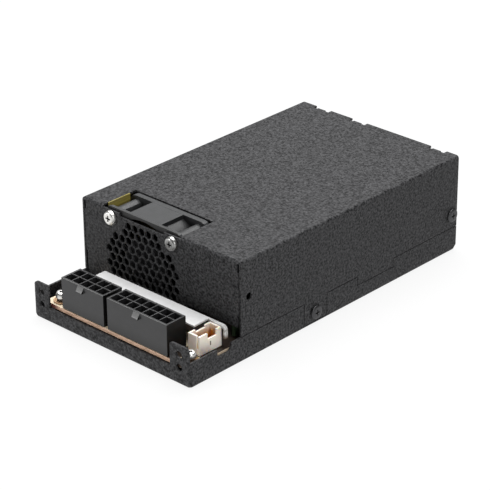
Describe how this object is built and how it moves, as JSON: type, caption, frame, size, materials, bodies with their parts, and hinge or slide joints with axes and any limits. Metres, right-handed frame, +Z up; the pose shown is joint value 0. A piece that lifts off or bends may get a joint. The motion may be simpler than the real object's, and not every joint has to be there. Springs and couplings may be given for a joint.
{
  "type": "power supply unit",
  "caption": "Small flat modular computer power supply: black steel tray and cover, front fan, output headers on an open deck and a mains inlet at the rear.",
  "frame": {"origin": "centre of the bounding box in plan, on the underside of the tray", "axes": "+X to the right seen from the connector end, +Y towards the mains inlet at the rear, +Z up"},
  "size_m": [0.0838, 0.1524, 0.0405],
  "materials": {
    "black_powder_coat": "fine-textured matt black powder coat",
    "black_screw": "black oxide",
    "bright_screw": "bright nickel plate",
    "cream_board": "bare laminate with a brown cut edge",
    "green_board": "green solder mask",
    "dark_film": "thin polyester film",
    "dark_nylon": "satin moulded nylon",
    "plated_pins": "plated contact",
    "ivory_nylon": "slightly translucent ivory nylon",
    "white_insulator": "matt white sheet",
    "aluminium_can": "bare can",
    "fan_plastic": "glass-filled moulding",
    "ferrite": "ground ferrite",
    "bearing_bronze": "sintered bronze",
    "enamelled_copper": "enamelled copper wire",
    "bare_copper": "tinned copper bar",
    "red_insulation": "wire insulation",
    "white_plug": "moulded nylon",
    "inlet_plastic": "moulded thermoset",
    "plated_blades": "nickel plate",
    "yellow_tape": "polyester tape",
    "dark_sleeve": "shrink sleeve",
    "blue_epoxy": "dipped epoxy",
    "heatsink_aluminium": "extruded",
    "moulded_epoxy": "moulded epoxy",
    "fuse_ceramic": "metal-capped fuse"
  },
  "bodies": {
    "chassis": {"base_tray": "black_powder_coat", "board_screw_main_front": "bright_screw", "board_screw_main_rear": "bright_screw", "board_screw_main_side": "bright_screw", "board_screw_output_left": "bright_screw", "board_screw_output_right": "bright_screw", "boost_heatsink": "heatsink_aluminium", "boost_inductor": "enamelled_copper", "boost_transistor": "moulded_epoxy", "bridge_rectifier": "moulded_epoxy", "bulk_capacitor": "dark_sleeve", "bus_bar": "bare_copper", "control_board": "green_board", "cover_screw_left_rear": "black_screw", "cover_screw_left_tab": "black_screw", "cover_screw_right_rear": "black_screw", "cover_screw_right_tab": "black_screw", "fan_bearing": "bearing_bronze", "fan_circuit_board": "green_board", "fan_frame": "fan_plastic", "fan_lead": "red_insulation", "fan_plug": "white_plug", "fan_screw_lower_left": "bright_screw", "fan_screw_lower_right": "bright_screw", "fan_screw_upper_left": "bright_screw", "fan_screw_upper_right": "bright_screw", "fan_stator": "enamelled_copper", "filter_capacitor_1": "aluminium_can", "filter_capacitor_2": "aluminium_can", "fuse": "fuse_ceramic", "inlet_blade_earth": "plated_blades", "inlet_blade_live": "plated_blades", "inlet_blade_neutral": "plated_blades", "inlet_housing": "inlet_plastic", "insulating_sheet": "dark_film", "insulator_bridge": "white_insulator", "line_capacitor": "yellow_tape", "line_filter_choke": "enamelled_copper", "main_board": "cream_board", "output_board": "cream_board", "output_capacitor_1": "aluminium_can", "output_capacitor_2": "aluminium_can", "output_header_10_housing": "dark_nylon", "output_header_10_pins": "plated_pins", "output_header_14_housing": "dark_nylon", "output_header_14_pins": "plated_pins", "rectifier_heatsink": "heatsink_aluminium", "rectifier_transistor": "moulded_epoxy", "resonant_inductor": "yellow_tape", "safety_capacitor": "blue_epoxy", "signal_header_housing": "ivory_nylon", "signal_header_pins": "plated_pins", "standby_transformer": "yellow_tape", "top_cover": "black_powder_coat", "transformer_core": "ferrite", "transformer_tape": "yellow_tape", "transformer_winding": "enamelled_copper"},
    "fan_rotor": {"fan_impeller": "fan_plastic", "fan_magnet_ring": "ferrite", "fan_shaft": "bright_screw"}
  },
  "joints": [
    {"name": "fan_spin", "type": "hinge", "parent": "chassis", "child": "fan_rotor", "pos_m": [-0.00935, -0.04865, 0.0205], "axis": [0, 1, 0], "continuous": true}
  ]
}
